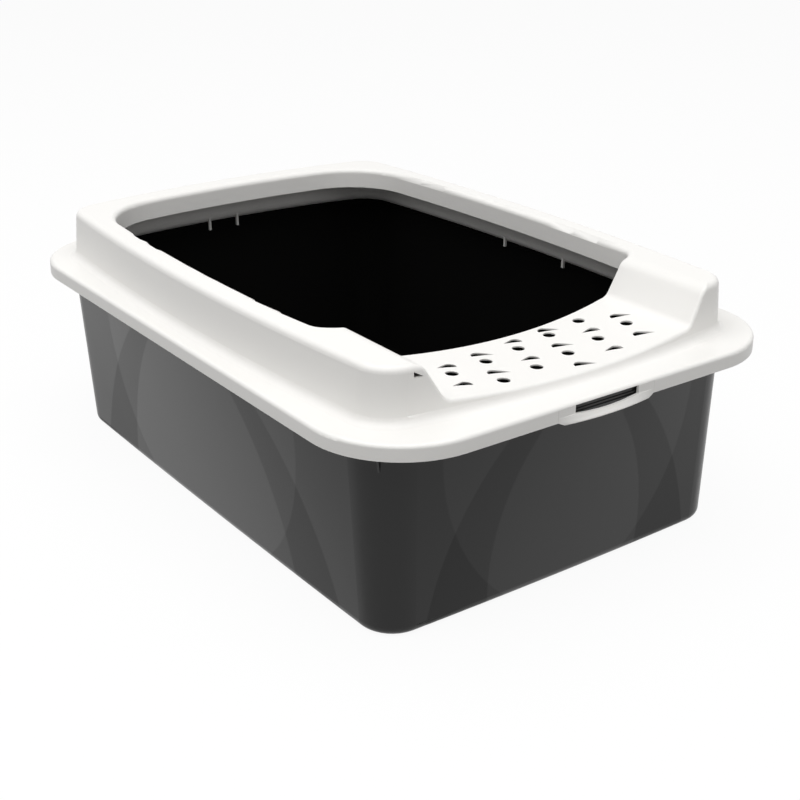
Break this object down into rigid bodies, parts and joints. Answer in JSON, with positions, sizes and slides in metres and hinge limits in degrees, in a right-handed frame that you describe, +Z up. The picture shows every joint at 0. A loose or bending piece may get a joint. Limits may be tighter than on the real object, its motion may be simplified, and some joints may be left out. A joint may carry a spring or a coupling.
{
  "type": "litter tray",
  "caption": "Rectangular litter tray: a deep dark pan under a clip-on pale rim with a raised collar, a low perforated entrance step and a flexing latch flap at each end.",
  "frame": {"origin": "middle of the footprint, on the surface that the pan stands on", "axes": "+Z up, +Y towards the far end, so the entrance faces -Y; +X to the right as seen from the entrance"},
  "size_m": [0.4, 0.5804, 0.2068],
  "materials": {
    "pan_plastic": "satin moulded polypropylene, dark grey",
    "rim_plastic": "soft gloss moulded polypropylene, white"
  },
  "bodies": {
    "pan": {"base_pan": "pan_plastic"},
    "rim": {"rim_frame": "rim_plastic", "entry_step": "rim_plastic"},
    "front_latch": {"front_latch": "rim_plastic"},
    "back_latch": {"back_latch": "rim_plastic"}
  },
  "joints": [
    {"name": "rim_lift", "type": "slide", "parent": "pan", "child": "rim", "axis": [0, 0, 1], "range_m": [0, 0.08]},
    {"name": "front_flap", "type": "hinge", "parent": "rim", "child": "front_latch", "pos_m": [0, -0.2856, 0.16308], "axis": [-1, 0, 0], "range_deg": [0, 12], "stiffness_Nm_per_rad": 0.2},
    {"name": "back_flap", "type": "hinge", "parent": "rim", "child": "back_latch", "pos_m": [0, 0.2856, 0.16308], "axis": [1, 0, 0], "range_deg": [0, 12], "stiffness_Nm_per_rad": 0.2}
  ]
}
